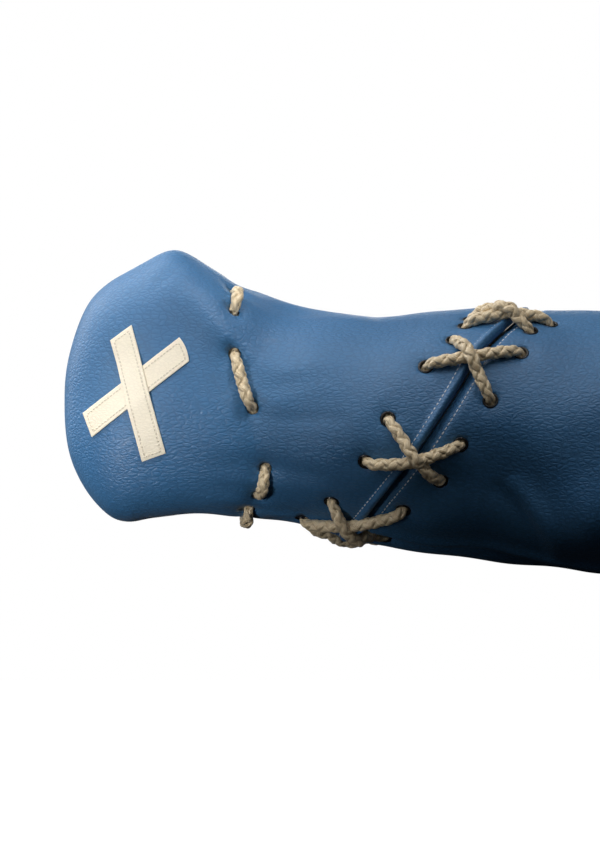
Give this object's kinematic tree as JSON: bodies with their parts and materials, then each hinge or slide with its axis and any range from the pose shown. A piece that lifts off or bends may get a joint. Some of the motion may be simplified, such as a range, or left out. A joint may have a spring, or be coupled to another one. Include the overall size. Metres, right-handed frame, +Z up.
{
  "type": "wall punch pad",
  "caption": "Stuffed faux-leather striking pad on a wall plate, shaped as a blunt limb with a flat head, laced neck, slanted laced seam and a cross patch.",
  "frame": {"origin": "centre of the wall plate's flat wall face", "axes": "+X points into the wall, so the pad stands out along -X; +Z is up; -Y is the side that carries the cross patch"},
  "size_m": [0.46, 0.24, 0.2432],
  "materials": {
    "blue_faux_leather": "pebble-grained faux leather, semi-gloss",
    "cream_faux_leather": "fine-grained faux leather, satin",
    "cream_cord": "braided cord with a slight sheen",
    "black_eyelet": "gloss black",
    "fibre_filling": "matted fibre",
    "dense_foam": "open-cell foam",
    "zinc_plated_steel": "zinc plated",
    "black_powder_coat": "fine-texture powder coat",
    "black_rubber": "moulded, matt",
    "birch_plywood": "sanded, unvarnished"
  },
  "bodies": {
    "root": {"arm_end_plug": "black_rubber", "body_filling": "fibre_filling", "disc_bolt_1": "zinc_plated_steel", "disc_bolt_2": "zinc_plated_steel", "disc_bolt_3": "zinc_plated_steel", "disc_bolt_4": "zinc_plated_steel", "eyelet_front_01": "black_eyelet", "eyelet_front_02": "black_eyelet", "eyelet_front_03": "black_eyelet", "eyelet_front_04": "black_eyelet", "eyelet_front_05": "black_eyelet", "eyelet_front_06": "black_eyelet", "eyelet_front_07": "black_eyelet", "eyelet_front_08": "black_eyelet", "eyelet_front_09": "black_eyelet", "eyelet_front_10": "black_eyelet", "eyelet_front_11": "black_eyelet", "eyelet_front_12": "black_eyelet", "eyelet_front_13": "black_eyelet", "eyelet_front_14": "black_eyelet", "eyelet_front_15": "black_eyelet", "eyelet_front_16": "black_eyelet", "eyelet_rear_01": "black_eyelet", "eyelet_rear_02": "black_eyelet", "eyelet_rear_03": "black_eyelet", "eyelet_rear_04": "black_eyelet", "eyelet_rear_05": "black_eyelet", "eyelet_rear_06": "black_eyelet", "eyelet_rear_07": "black_eyelet", "eyelet_rear_08": "black_eyelet", "eyelet_rear_09": "black_eyelet", "eyelet_rear_10": "black_eyelet", "eyelet_rear_11": "black_eyelet", "eyelet_rear_12": "black_eyelet", "eyelet_rear_13": "black_eyelet", "eyelet_rear_14": "black_eyelet", "eyelet_rear_15": "black_eyelet", "eyelet_rear_16": "black_eyelet", "foam_sleeve": "dense_foam", "front_cover": "blue_faux_leather", "head_filling": "fibre_filling", "neck_lace": "cream_cord", "patch_strap_lower": "cream_faux_leather", "patch_strap_upper": "cream_faux_leather", "rear_cover": "blue_faux_leather", "root_disc": "birch_plywood", "seam_lace_1": "cream_cord", "seam_lace_2": "cream_cord", "steel_arm": "zinc_plated_steel", "tee_nut_1": "zinc_plated_steel", "tee_nut_2": "zinc_plated_steel", "tee_nut_3": "zinc_plated_steel", "tee_nut_4": "zinc_plated_steel", "wall_plate": "black_powder_coat"}
  },
  "joints": []
}
